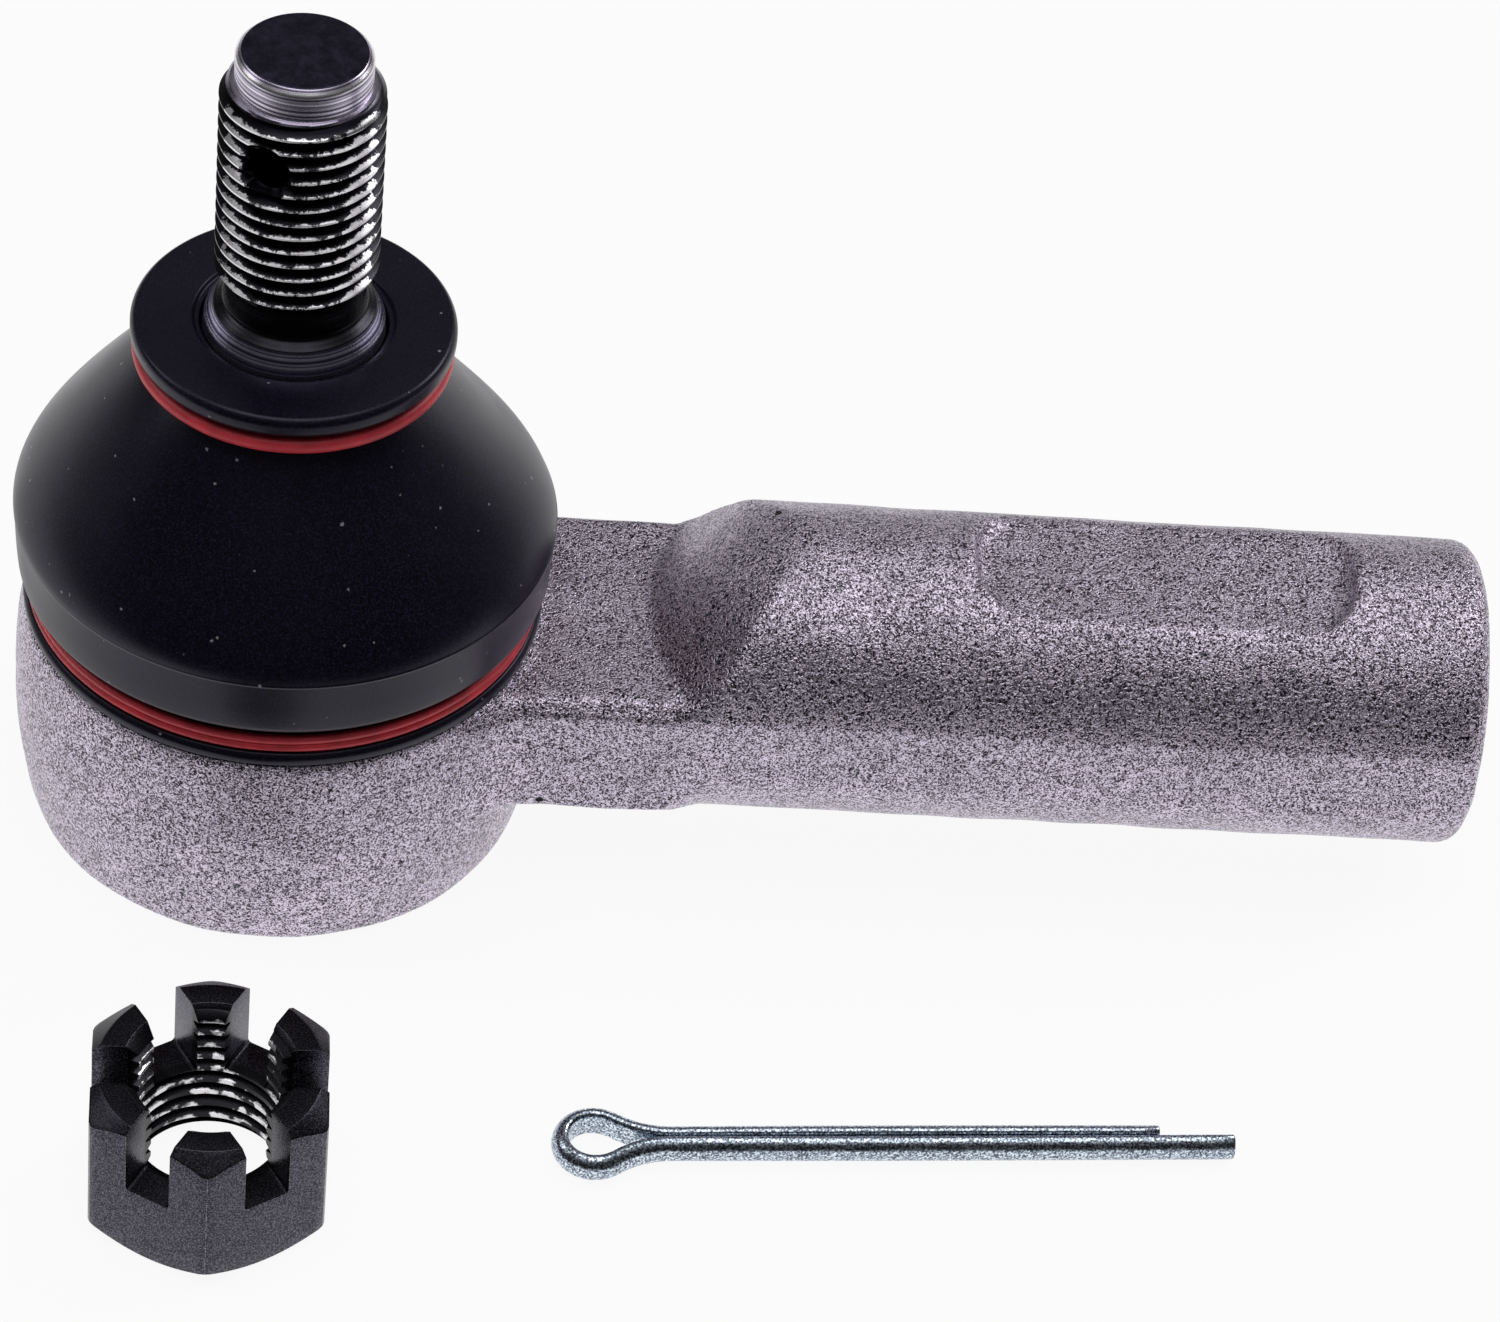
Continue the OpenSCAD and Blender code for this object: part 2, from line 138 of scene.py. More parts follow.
class TIEROD_PG_view(PropertyGroup):
    """Camera and floor"""

    lens: FloatProperty(name="Lens", description="Focal length in millimetres", default=132.0, min=20.0)
    place: FloatVectorProperty(
        name="Place", description="Where it stands", default=(0.00625, -0.3136, 0.3021), subtype="TRANSLATION"
    )
    elevation: FloatProperty(
        name="Elevation", description="How far it looks down", default=np.radians(42.43), subtype="ANGLE"
    )
    azimuth: FloatProperty(
        name="Azimuth", description="Its turn about Z", default=np.radians(-5.47), subtype="ANGLE"
    )
    roll: FloatProperty(
        name="Roll", description="Its turn about its line of sight", default=np.radians(6.81), subtype="ANGLE"
    )
    floor_colour: FloatVectorProperty(
        name="Floor", description="The floor's colour", default=(0.9, 0.9, 0.9), subtype="COLOR", min=0, max=1
    )


class TIEROD_PG_sizes(PropertyGroup):
    """Sizes that the looks add to the frame's own, in millimetres"""

    forge_voxel: FloatProperty(
        name="Forging detail", description="Grid that rounds the forging's edges", default=0.44, min=0.4
    )
    forge_lumps: FloatProperty(name="Forging waves", description="Height of its slow waves", default=0.04)
    stud_pitch: FloatProperty(name="Stud pitch", description="Pitch of stud and nut", default=1.25)
    shank_pitch: FloatProperty(name="Shank pitch", description="Pitch of the shank", default=1.5)
    boot_lean: FloatProperty(name="Boot lean", description="How far the dome sags to one side", default=0.75)
    segments: IntProperty(name="Segments", description="Steps around a turned piece", default=128, min=32)


def colour_property(name, description, code):
    """A colour that a user may change, from its sRGB hex value."""
    return FloatVectorProperty(
        name=name, description=description, default=linear(code), subtype="COLOR", min=0, max=1
    )


class TIEROD_PG_colours(PropertyGroup):
    """Colours as the eye names them"""

    forging: colour_property("Forging", "Shot-blasted steel of the housing", "#938A9A")
    stud: colour_property("Stud", "Black oxide of the ball stud", "#3C3A4E")
    rubber: colour_property("Rubber", "Rubber of the dust boot", "#090813")
    rings: colour_property("Rings", "Red coat of the boot's rings", "#DE3C49")
    nut: colour_property("Nut", "Phosphate coat of the castle nut", "#494751")
    pin: colour_property("Pin", "Zinc on the split pin", "#A4AEC0")


def sizes():
    return bpy.context.scene.tie_rod_sizes


def colours():
    return bpy.context.scene.tie_rod_colours


# ---- Shapes as whole arrays ----


def corners(points, steps=6):
    """Softened outline from corners (r, z, trim).

    Each corner becomes a quadratic curve from a point trim before it to a point trim after it, both on
    its edges, with the corner itself as the curve's handle. Open outlines keep their end points, whose
    trim is 0.
    """
    data = np.asarray(points, float)
    spot, trim = data[:, :2], data[:, 2:]
    before, after = np.roll(spot, 1, 0) - spot, np.roll(spot, -1, 0) - spot
    start = spot + before / np.maximum(np.linalg.norm(before, axis=1, keepdims=True), 1e-9) * trim
    end = spot + after / np.maximum(np.linalg.norm(after, axis=1, keepdims=True), 1e-9) * trim
    t = np.linspace(0, 1, steps)[None, :, None]
    curve = (1 - t) ** 2 * start[:, None] + 2 * t * (1 - t) * spot[:, None] + t**2 * end[:, None]
    flat = curve.reshape(-1, 2)
    keep = np.ones(len(flat), bool)
    keep[1:] = np.linalg.norm(np.diff(flat, axis=0), axis=1) > 1e-6
    return flat[keep]


def bezier(p0, p1, p2, p3, steps=24):
    """Cubic curve: the four points weighted by (1-t)^3, 3t(1-t)^2, 3t^2(1-t) and t^3."""
    t = np.linspace(0, 1, steps)[:, None]
    return (
        (1 - t) ** 3 * np.array(p0) + 3 * t * (1 - t) ** 2 * np.array(p1)
        + 3 * t**2 * (1 - t) * np.array(p2) + t**3 * np.array(p3)
    )


def turned(outline, segments):
    """Points of an outline (r, z) turned about Z: (r cos a, r sin a, z) for every angle a, once round."""
    angle = np.linspace(0, 2 * np.pi, segments, endpoint=False)
    r, z = outline[:, 0][:, None], outline[:, 1][:, None]
    return np.stack([r * np.cos(angle), r * np.sin(angle), z + 0 * angle], axis=-1)


def closed_round(rows):
    """Rows of points about Z with their first column repeated at the end, as a thread's rows have it."""
    return np.concatenate([rows, rows[:, :1]], axis=1)


def thread_radius(turns, crest, depth):
    """Radius of a 60 degree thread at a place given in turns from a crest's middle.

    The distance to the nearest crest, in pitches, is 0 to 1/2: the crest is flat to 1/16, the flank falls in
    a straight line to 3/8, and the root is flat from there.
    """
    away = np.abs(turns - np.round(turns))
    return crest - depth * np.clip((away - 1 / 16) / (5 / 16), 0, 1)


def threaded_rows(z0, z1, pitch, crest, depth, segments, limit, rows_per_pitch=16, taper_in=0.5):
    """Points of a right-hand thread about Z between z0 and z1.

    Row k starts at z0 + (k / rows) pitch and climbs one pitch in a turn, so each row keeps its own place on
    the thread's profile and the crests stay crisp; heights are then clipped to the ends. limit(z) is the
    largest radius that the plain shaft allows there, and the depth grows from nothing over the first and
    last taper_in turns.
    """
    turn = np.linspace(0, 1, segments + 1)[None, :]
    count = int(np.ceil((z1 - z0) / pitch * rows_per_pitch)) + rows_per_pitch + 1
    row = (np.arange(count)[:, None] - rows_per_pitch) / rows_per_pitch
    z = np.clip(z0 + pitch * (row + turn), z0, z1)
    fade = np.clip(np.minimum(z - z0, z1 - z) / (taper_in * pitch), 0, 1)
    plain = limit(z)
    cut = thread_radius(row + 0 * turn, crest, depth)
    r = np.minimum(plain, plain + (cut - plain) * fade)
    angle = 2 * np.pi * turn
    return np.stack([r * np.cos(angle), r * np.sin(angle), z], axis=-1)


def new_piece(name, grid, body, node=None, sharp=None):
    """Makes one object from a grid (points in millimetres, wrap around, wrap along).

    Doubles at seams and poles are merged, and faces that shrank to nothing go with them.
    """
    points, around, along = grid
    rows, cols = points.shape[:2]
    index = np.arange(rows * cols).reshape(rows, cols)
    if around:
        index = np.hstack([index, index[:, :1]])
    if along:
        index = np.vstack([index, index[:1]])
    quads = np.stack([index[:-1, :-1], index[:-1, 1:], index[1:, 1:], index[1:, :-1]], axis=-1)
    mesh = bpy.data.meshes.new(name)
    mesh.from_pydata(points.reshape(-1, 3) * MM, [], quads.reshape(-1, 4))
    work = bmesh.new()
    work.from_mesh(mesh)
    bmesh.ops.remove_doubles(work, verts=work.verts, dist=2e-7)
    bmesh.ops.recalc_face_normals(work, faces=work.faces)
    work.to_mesh(mesh)
    work.free()
    return finish_piece(name, mesh, body, node, sharp)


def smooth(mesh, sharp=None):
    """Shades a mesh smooth, except across edges sharper than an angle in degrees."""
    mesh.polygons.foreach_set("use_smooth", np.ones(len(mesh.polygons), bool))
    if sharp is not None:
        mesh.set_sharp_from_angle(angle=np.radians(sharp))


def finish_piece(name, mesh, body, node=None, sharp=None):
    """Puts a mesh in the scene as a piece of a body, with its shading, and hides the CAD node it replaces."""
    piece = bpy.data.objects.new(name, mesh)
    bpy.context.scene.collection.objects.link(piece)
    smooth(mesh, sharp)
    if body:
        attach(piece, body)
    if node:
        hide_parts(node)
    return piece


def bake_modifiers(piece):
    """Replaces a piece's mesh by what its modifiers make of it, and removes them."""
    depsgraph = bpy.context.evaluated_depsgraph_get()
    depsgraph.update()
    mesh = bpy.data.meshes.new_from_object(piece.evaluated_get(depsgraph), depsgraph=depsgraph)
    piece.modifiers.clear()
    old, piece.data = piece.data, mesh
    mesh.name = piece.name
    bpy.data.meshes.remove(old)


def cut(piece, tool):
    """Cuts a piece with another mesh object, which is then removed."""
    modifier = piece.modifiers.new("cut", "BOOLEAN")
    modifier.operation = "DIFFERENCE"
    modifier.solver = "EXACT"
    modifier.object = tool
    bake_modifiers(piece)
    bpy.data.objects.remove(tool)


def tool_piece(name, grid, spin=None, move=(0, 0, 0)):
    """A closed cutter, removed after its cut. spin is a rotation and move is in millimetres."""
    piece = new_piece(name, grid, None)
    matrix = Matrix.Translation(Vector(move) * MM) @ (spin.to_4x4() if spin else Matrix.Identity(4))
    piece.data.transform(matrix)
    return piece


def cad_copy(node):
    """A copy of a CAD node's triangles with their doubles merged."""
    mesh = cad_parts[node].data.copy()
    mesh.materials.clear()
    work = bmesh.new()
    work.from_mesh(mesh)
    bmesh.ops.remove_doubles(work, verts=work.verts, dist=1e-6)
    work.to_mesh(mesh)
    work.free()
    return mesh


def slow_waves(points, wavelength, seed, count=28):
    """Sum of sine waves in random directions, about -1 to 1, for points in millimetres."""
    rng = np.random.default_rng(seed)
    ways = rng.normal(size=(3, count))
    ways /= np.linalg.norm(ways, axis=0)
    lengths = wavelength * rng.uniform(0.6, 1.6, count)
    phase = rng.uniform(0, 2 * np.pi, count)
    return np.sin(points @ (ways * 2 * np.pi / lengths) + phase).sum(1) / np.sqrt(count)


def shift_along_normals(mesh, amount):
    """Moves each vertex along its normal by amount(points in mm), in mm."""
    count = len(mesh.vertices)
    spots, ways = np.empty(count * 3), np.empty(count * 3)
    mesh.vertices.foreach_get("co", spots)
    mesh.vertices.foreach_get("normal", ways)
    spots, ways = spots.reshape(-1, 3), ways.reshape(-1, 3)
    spots = spots + ways * (amount(spots / MM) * MM)[:, None]
    mesh.vertices.foreach_set("co", spots.ravel())
    mesh.update()


def keep_inside(mesh, low, high):
    """Holds every vertex between two corners given in millimetres."""
    spots = np.empty(len(mesh.vertices) * 3)
    mesh.vertices.foreach_get("co", spots)
    mesh.vertices.foreach_set("co", np.clip(spots.reshape(-1, 3), low * MM, high * MM).ravel())
    mesh.update()


# ---- Materials ----


def add(tree, kind, links=None, out=None, stops=(), **settings):
    """Adds a node, sets its properties, fills its inputs from values or sockets, and returns one output.

    A Map Range's inputs 1 to 4 are From Min, From Max, To Min and To Max. A colour Mix's 0, 6 and 7 are its
    factor and its two colours. stops are the (position, colour) of a colour ramp.
    """
    node = tree.nodes.new("ShaderNode" + kind)
    for key, value in settings.items():
        setattr(node, key, value)
    for key, value in (links or {}).items():
        socket = node.inputs[key]
        if isinstance(value, bpy.types.NodeSocket):
            tree.links.new(value, socket)
        else:
            socket.default_value = value
    if stops:
        elements = node.color_ramp.elements
        while len(elements) < len(stops):
            elements.new(0.5)
        for element, (position, colour) in zip(elements, stops):
            element.position, element.color = position, colour
    return node.outputs[out] if out else next((socket for socket in node.outputs if socket.enabled), None)


def grey(value):
    return (value, value, value, 1.0)


def shade(colour, factor=1.0):
    """A colour, linear or an sRGB hex value, made darker or lighter by a factor, with its alpha."""
    parts = linear(colour) if isinstance(colour, str) else colour
    return (*(min(part * factor, 1.0) for part in parts), 1.0)


def new_material(name):
    """An empty material with its node tree, and the object's coordinates in millimetres."""
    material = bpy.data.materials.new(name)
    material.use_nodes = True
    tree = material.node_tree
    tree.nodes.clear()
    place = add(tree, "TexCoord", out="Object")
    place = add(tree, "VectorMath", {0: place, "Scale": 1 / MM}, operation="SCALE")
    return material, tree, place


def close_material(tree, tint, rough=None, relief=None, **inputs):
    """Ends a material with one Principled shader; other inputs are named with _ for spaces.

    rough is (noise, low, high): the noise from 0.3 to 0.7, most of its range, sets the roughness. relief is
    (height, strength, depth in millimetres) of a bump.
    """
    inputs["Base_Color"] = tint
    if rough:
        noise, low, high = rough
        inputs["Roughness"] = add(tree, "MapRange", {"Value": noise, 1: 0.3, 2: 0.7, 3: low, 4: high})
    if relief:
        height, strength, depth = relief
        inputs["Normal"] = add(tree, "Bump", {"Strength": strength, "Distance": depth * MM, "Height": height})
    shader = add(tree, "BsdfPrincipled", {name.replace("_", " "): value for name, value in inputs.items()})
    add(tree, "OutputMaterial", {"Surface": shader})


def shot_blasted_forging(colour):
    """Shot-blasted forged steel: grey with a purple cast, worked into short worm-like ridges 0.3 mm apart.

    The ridges are where a noise passes through its middle; a finer grain breaks them up, and a few pits
    0.5 mm wide are left from scale. The grain is drawn at 0.14 mm, coarser than the real one, to show.
    """
    material, tree, place = new_material("shot_blasted_forged_steel")
    worms = add(tree, "TexNoise", {"Vector": place, "Scale": 1 / 0.36, "Detail": 1.5, "Distortion": 0.7})
    away = add(tree, "Math", {0: worms, 1: 0.5}, operation="SUBTRACT")
    away = add(tree, "Math", {0: away}, operation="ABSOLUTE")
    ridge = add(tree, "MapRange", {"Value": away, 1: 0.0, 2: 0.16, 3: 1.0, 4: 0.0})
    grain = add(tree, "TexNoise", {"Vector": place, "Scale": 1 / 0.14, "Detail": 1.0, "Roughness": 0.6})
    stain = add(tree, "TexNoise", {"Vector": place, "Scale": 1 / 5.0, "Detail": 3.0, "Roughness": 0.55})
    cells = add(tree, "TexVoronoi", {"Vector": place, "Scale": 1 / 6.5})
    pit = add(tree, "MapRange", {"Value": cells, 1: 0.03, 2: 0.05, 3: 0.0, 4: 1.0})
    height = add(tree, "Math", {0: grain, 1: 0.9, 2: ridge}, operation="MULTIPLY_ADD")
    height = add(tree, "Math", {0: pit, 1: 2.0, 2: height}, operation="MULTIPLY_ADD")
    mixed = add(tree, "Math", {0: ridge, 1: 0.22, 2: grain}, operation="MULTIPLY_ADD")
    mixed = add(tree, "Math", {0: mixed, 1: pit}, operation="MULTIPLY")
    # Painted light in the grain's colour: the near-white specks are painted glints, the near-black low spots
    # are painted shade, and the raised ridges are painted lighter as highlight.
    grain_and_glints = add(tree, "ValToRGB", {0: mixed}, stops=[
        (0.4, shade(colour, 0.03)), (0.49, shade(colour, 0.33)), (0.58, shade(colour)),
        (0.7, shade("#F2E6FA"))])
    cloud = add(tree, "ValToRGB", {0: stain}, stops=[(0.3, grey(0.82)), (0.7, grey(1.0))])
    tint = add(tree, "Mix", {0: 1.0, 6: grain_and_glints, 7: cloud}, data_type="RGBA", blend_type="MULTIPLY")
    close_material(tree, tint, (grain, 0.28, 0.42), (height, 1.0, 0.038), Metallic=0.9)
    return material


def tapped_steel():
    """Tapped steel left bright, with faint uneven marks about 0.3 mm apart from the tap."""
    material, tree, place = new_material("tapped_bright_steel")
    marks = add(tree, "TexNoise", {"Vector": place, "Scale": 3.0, "Detail": 4.0})
    close_material(tree, shade("#B6B4B6"), (marks, 0.25, 0.4), (marks, 0.2, 0.03), Metallic=1.0)
    return material


def black_oxide_stud(colour):
    """Turned and threaded steel, blackened: blue-black satin, its crests painted bright in ragged patches as
    glints.

    The painted glints follow the distance from the stud's axis, broken up at 1.2 mm, with more of them
    towards the left and right, where the side lamps fall, and none at the outermost edges. A painted
    highlight line runs round the pilot's rim, and the thread's roots are painted dark as shade. The tool's
    rings are drawn 0.2 mm apart along the stud. The pilot above the thread and the ground taper below it are
    bright.
    """
    material, tree, place = new_material("black_oxide_turned_steel")
    height = add(tree, "SeparateXYZ", {0: place}, "Z")
    sideways = height.node.outputs["X"]
    across = add(tree, "CombineXYZ", {0: sideways, 1: height.node.outputs["Y"]})
    radius = add(tree, "VectorMath", {0: across}, "Value", operation="LENGTH")
    patch = add(tree, "TexNoise", {"Vector": place, "Scale": 1 / 1.2, "Detail": 6.0, "Roughness": 0.8})
    ragged = add(tree, "Math", {0: patch, 1: 1.5, 2: radius}, operation="MULTIPLY_ADD")
    aside = add(tree, "Math", {0: sideways}, operation="ABSOLUTE")
    # More painted glints towards the left and right, where the side lamps fall, and none at the outermost
    # edges.
    for low, high, rise in ((2.8, 4.6, 0.26), (5.0, 5.8, -0.5)):
        share = {"Value": aside, 1: low, 2: high, 4: rise}
        flank = add(tree, "MapRange", share, interpolation_type="SMOOTHSTEP")
        ragged = add(tree, "Math", {0: ragged, 1: flank}, operation="ADD")
    crest = add(tree, "MapRange", {"Value": ragged, 1: 6.66, 2: 6.76}, interpolation_type="SMOOTHSTEP")
    above_taper = add(tree, "MapRange", {"Value": height, 1: THREAD_LOW - 0.5, 2: THREAD_LOW + 0.5})
    glint_mask = add(tree, "Math", {0: crest, 1: above_taper}, operation="MULTIPLY")
    # Painted shade: the roots of the thread are darkened to near black.
    deep = add(tree, "MapRange", {"Value": radius, 1: STUD_R - 0.1, 2: STUD_R - 0.5})
    root = add(tree, "Math", {0: deep, 1: above_taper}, operation="MULTIPLY")
    below_pilot = add(tree, "MapRange", {"Value": height, 1: THREAD_HIGH - 0.1, 2: THREAD_HIGH - 0.4})
    root = add(tree, "Math", {0: root, 1: below_pilot}, operation="MULTIPLY")
    lines = add(tree, "TexNoise", {"W": height, "Scale": 5.0, "Detail": 3.0}, noise_dimensions="1D")
    satin = add(tree, "ValToRGB", {0: lines}, stops=[
        (0.35, shade("#443F50")), (0.5, shade("#A49CB0")), (0.62, shade("#EEE8F6"))])
    face = add(tree, "Math", {0: height, 1: STUD_TIP, 2: 0.05}, operation="COMPARE")
    ends = add(tree, "ValToRGB", {0: patch}, stops=[(0.35, shade(colour, 0.6)), (0.65, shade(colour, 1.5))])
    ground = add(tree, "ValToRGB", {0: lines}, stops=[(0.38, shade("#5E5A7C")), (0.62, shade("#D8D4EE"))])
    taper = add(tree, "MapRange", {"Value": height, 1: TAPER_TOP - 0.04, 2: TAPER_TOP - 0.1})
    # A painted highlight line round the pilot's rim joins the painted glints.
    rim = add(tree, "Math", {0: height, 1: STUD_TIP - 0.4, 2: 0.14}, operation="COMPARE")
    glint_mask = add(tree, "Math", {0: glint_mask, 1: rim}, operation="MAXIMUM")
    tint = satin
    covers = ((face, ends), (below_pilot, shade("#2B2A2F")), (taper, ground), (root, shade(colour, 0.1)),
              (glint_mask, shade("#E4E2E6")))
    for mask, cover in covers:
        tint = add(tree, "Mix", {0: mask, 6: tint, 7: cover}, data_type="RGBA")
    close_material(tree, tint, (patch, 0.2, 0.36), (lines, 0.35, 0.05), Metallic=0.95)
    return material


def moulded_rubber(colour):
    """Moulded rubber: near black and satin, with a few specks of pale dust."""
    material, tree, place = new_material("moulded_black_rubber")
    skin = add(tree, "TexNoise", {"Vector": place, "Scale": 1 / 0.35, "Detail": 3.0})
    smear = add(tree, "TexNoise", {"Vector": place, "Scale": 1 / 9.0, "Detail": 4.0})
    cells = add(tree, "TexVoronoi", {"Vector": place, "Scale": 1 / 1.7})
    size = add(tree, "Math", {0: skin, 1: -0.25, 2: cells}, operation="MULTIPLY_ADD")
    speck = add(tree, "MapRange", {"Value": size, 1: -0.055, 2: -0.085})
    grain = add(tree, "TexNoise", {"Vector": place, "Scale": 1 / 0.14, "Detail": 1.0})
    bloom = add(tree, "ValToRGB", {0: grain}, stops=[(0.45, shade(colour, 0.6)), (0.75, shade(colour, 6.0))])
    tint = add(tree, "Mix", {0: speck, 6: bloom, 7: shade("#8A8C92")}, data_type="RGBA")
    close_material(tree, tint, (smear, 0.28, 0.38), (skin, 0.12, 0.04), IOR=1.42, Specular_IOR_Level=0.45,
                   Specular_Tint=(0.84, 0.78, 1.0, 1.0))
    return material


def red_coated_wire(colour):
    """Spring wire dipped in red: satin, a little darker where the coat is thick."""
    material, tree, place = new_material("red_coated_wire")
    coat = add(tree, "TexNoise", {"Vector": place, "Scale": 1 / 2.2, "Detail": 3.0})
    tint = add(tree, "ValToRGB", {0: coat}, stops=[(0.3, shade(colour, 0.75)), (0.7, shade(colour, 1.2))])
    close_material(tree, tint, None, (coat, 0.2, 0.03), Roughness=0.42, IOR=1.5)
    return material


def phosphated_nut(name, colour):
    """Phosphated steel: charcoal with a fine crystal grain; its thread is painted dark as shade, with ragged
    painted glints on the crests.

    The top faces and the upper chamfer are painted darker than the flats, as shade on the faces that look up.
    """
    material, tree, place = new_material(name)
    crystal = add(tree, "TexNoise", {"Vector": place, "Scale": 1 / 0.13, "Detail": 2.0})
    smear = add(tree, "TexNoise", {"Vector": place, "Scale": 1 / 1.3, "Detail": 4.0})
    local = add(tree, "VectorMath", {0: place, 1: (*NUT_MIDDLE, 0)}, operation="SUBTRACT")
    flat = add(tree, "VectorMath", {0: local, 1: (1, 1, 0)}, operation="MULTIPLY")
    radius = add(tree, "VectorMath", {0: flat}, "Value", operation="LENGTH")
    ragged = add(tree, "Math", {0: smear, 1: -1.2, 2: radius}, operation="MULTIPLY_ADD")
    # Painted shade in the bore, its mouth and its thread.
    bore = add(tree, "MapRange", {"Value": radius, 1: 6.3, 2: 6.1})
    # Painted glints: ragged bright patches on the thread's crests.
    inside = add(tree, "MapRange", {"Value": ragged, 1: 4.78, 2: 4.68})
    tint = add(tree, "ValToRGB", {0: crystal}, stops=[
        (0.36, shade(colour, 0.25)), (0.5, shade(colour, 0.85)), (0.64, shade(colour, 2.4))])
    facing = add(tree, "TexCoord", out="Normal")
    facing = add(tree, "SeparateXYZ", {0: facing}, "Z")
    # Painted shade: faces that look up are darker than the flats.
    top_shade = add(tree, "MapRange", {"Value": facing, 1: 0.3, 2: 0.6, 3: 0.0, 4: 0.75})
    covers = ((top_shade, shade(colour, 0.12)), (bore, shade(colour, 0.2)), (inside, shade("#E6E4E8")))
    for mask, cover in covers:
        tint = add(tree, "Mix", {0: mask, 6: tint, 7: cover}, data_type="RGBA")
    close_material(tree, tint, (crystal, 0.22, 0.36), (crystal, 0.3, 0.04), Metallic=0.9)
    return material


def zinc_plated_wire(colour):
    """Bright zinc on drawn wire: blue-grey, with faint die lines and a grain drawn at 0.16 mm."""
    material, tree, place = new_material("zinc_plated_wire")
    streak = add(tree, "VectorMath", {0: place, 1: (0.15, 2.5, 2.5)}, operation="MULTIPLY")
    lines = add(tree, "TexNoise", {"Vector": streak, "Scale": 2.0, "Detail": 4.0})
    grain = add(tree, "TexNoise", {"Vector": place, "Scale": 1 / 0.16, "Detail": 1.0})
    tint = add(tree, "ValToRGB", {0: grain}, stops=[
        (0.36, shade(colour, 0.25)), (0.5, shade(colour, 0.9)), (0.64, shade(colour, 2.2))])
    close_material(tree, tint, (lines, 0.18, 0.32), (lines, 0.3, 0.04), Metallic=1.0)
    return material


def moulded_acetal():
    """Moulded acetal: ivory and slightly waxy, with a film of grease."""
    material, tree, place = new_material("moulded_acetal")
    film = add(tree, "TexNoise", {"Vector": place, "Scale": 1 / 3.0, "Detail": 3.0})
    tint = add(tree, "ValToRGB", {0: film}, stops=[(0.3, shade("#DCD6C2")), (0.7, shade("#EFEADB"))])
    close_material(tree, tint, (film, 0.25, 0.4), IOR=1.48)
    return material


def rolled_sheet(name, dark, light, rough_low, rough_high):
    """Rolled steel sheet: grey with a faint streak along the rolling direction."""
    material, tree, place = new_material(name)
    streak = add(tree, "VectorMath", {0: place, 1: (0.2, 3.0, 1.0)}, operation="MULTIPLY")
    lines = add(tree, "TexNoise", {"Vector": streak, "Scale": 1.5, "Detail": 4.0})
    tint = add(tree, "ValToRGB", {0: lines}, stops=[(0.3, shade(dark)), (0.7, shade(light))])
    close_material(tree, tint, (lines, rough_low, rough_high), Metallic=1.0)
    return material


def dress(thing, *materials):
    """Gives an object these materials."""
    thing.data.materials.clear()
    for material in materials:
        thing.data.materials.append(material)


# ---- Operators: one for each piece or group of pieces ----


class TIEROD_OT_housing(Operator):
    """Makes the forging, with rounded edges and the thread in its shank"""

    bl_idname = "tie_rod.housing"
    bl_label = "Forged Housing"

    def execute(self, context):
        own = sizes()
        copy = finish_piece("forged_housing", cad_copy("housing"), None)
        end = HOUSING_HIGH[0]
        depth, bore_r, crest_r, thread_depth, wall_r = 42.0, 7.1, 7.05, 0.86, 7.2
        low, high = end - depth, end - 0.25
        steps = 96
        bore = np.array([(0, low - 1), (bore_r, low - 1), (bore_r, end + 1), (0, end + 1)])
        lay = Matrix.Rotation(np.pi / 2, 3, "Y")
        cut(copy, tool_piece("bore_tool", (turned(bore, steps), True, False), lay, (0, 0, BALL_Z)))
        remesh = copy.modifiers.new("rounding", "REMESH")
        remesh.mode = "VOXEL"
        remesh.voxel_size = own.forge_voxel * MM
        soften = copy.modifiers.new("soften", "SMOOTH")
        soften.factor, soften.iterations = 0.5, 2
        bake_modifiers(copy)
        wavelength, seed, shrink = 6.0, 3, 0.03
        shift_along_normals(copy.data, lambda p: slow_waves(p, wavelength, seed) * own.forge_lumps - shrink)
        keep_inside(copy.data, HOUSING_LOW, HOUSING_HIGH)
        smooth(copy.data)
        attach(copy, "housing")
        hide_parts("housing")
        dress(copy, shot_blasted_forging(colours().forging))

        inner = threaded_rows(
            low, high, own.shank_pitch, crest_r, thread_depth, steps, lambda z: crest_r + 0 * z)
        outer = closed_round(turned(np.array([(wall_r, low), (wall_r, high)]), steps))
        wall = np.concatenate([inner, outer[::-1], inner[:1]])
        spun = np.stack([wall[..., 2], wall[..., 1], BALL_Z - wall[..., 0]], axis=-1)
        thread = new_piece("shank_thread", (spun, False, False), "housing")
        dress(thread, tapped_steel())
        return {"FINISHED"}


class TIEROD_OT_inside(Operator):
    """Finishes the seats, the spring and the end plate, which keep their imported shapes"""

    bl_idname = "tie_rod.inside"
    bl_label = "Seats, Spring and Plate"

    def execute(self, context):
        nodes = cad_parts
        acetal = moulded_acetal()
        dress(nodes["upper_bearing"], acetal)
        dress(nodes["lower_bearing"], acetal)
        dress(nodes["preload_spring"], rolled_sheet("oiled_spring_steel", "#6A6A6C", "#8A8A8C", 0.3, 0.45))
        dress(nodes["end_plate"], rolled_sheet("pressed_plated_sheet", "#9A9A98", "#BDBDBA", 0.3, 0.5))
        return {"FINISHED"}


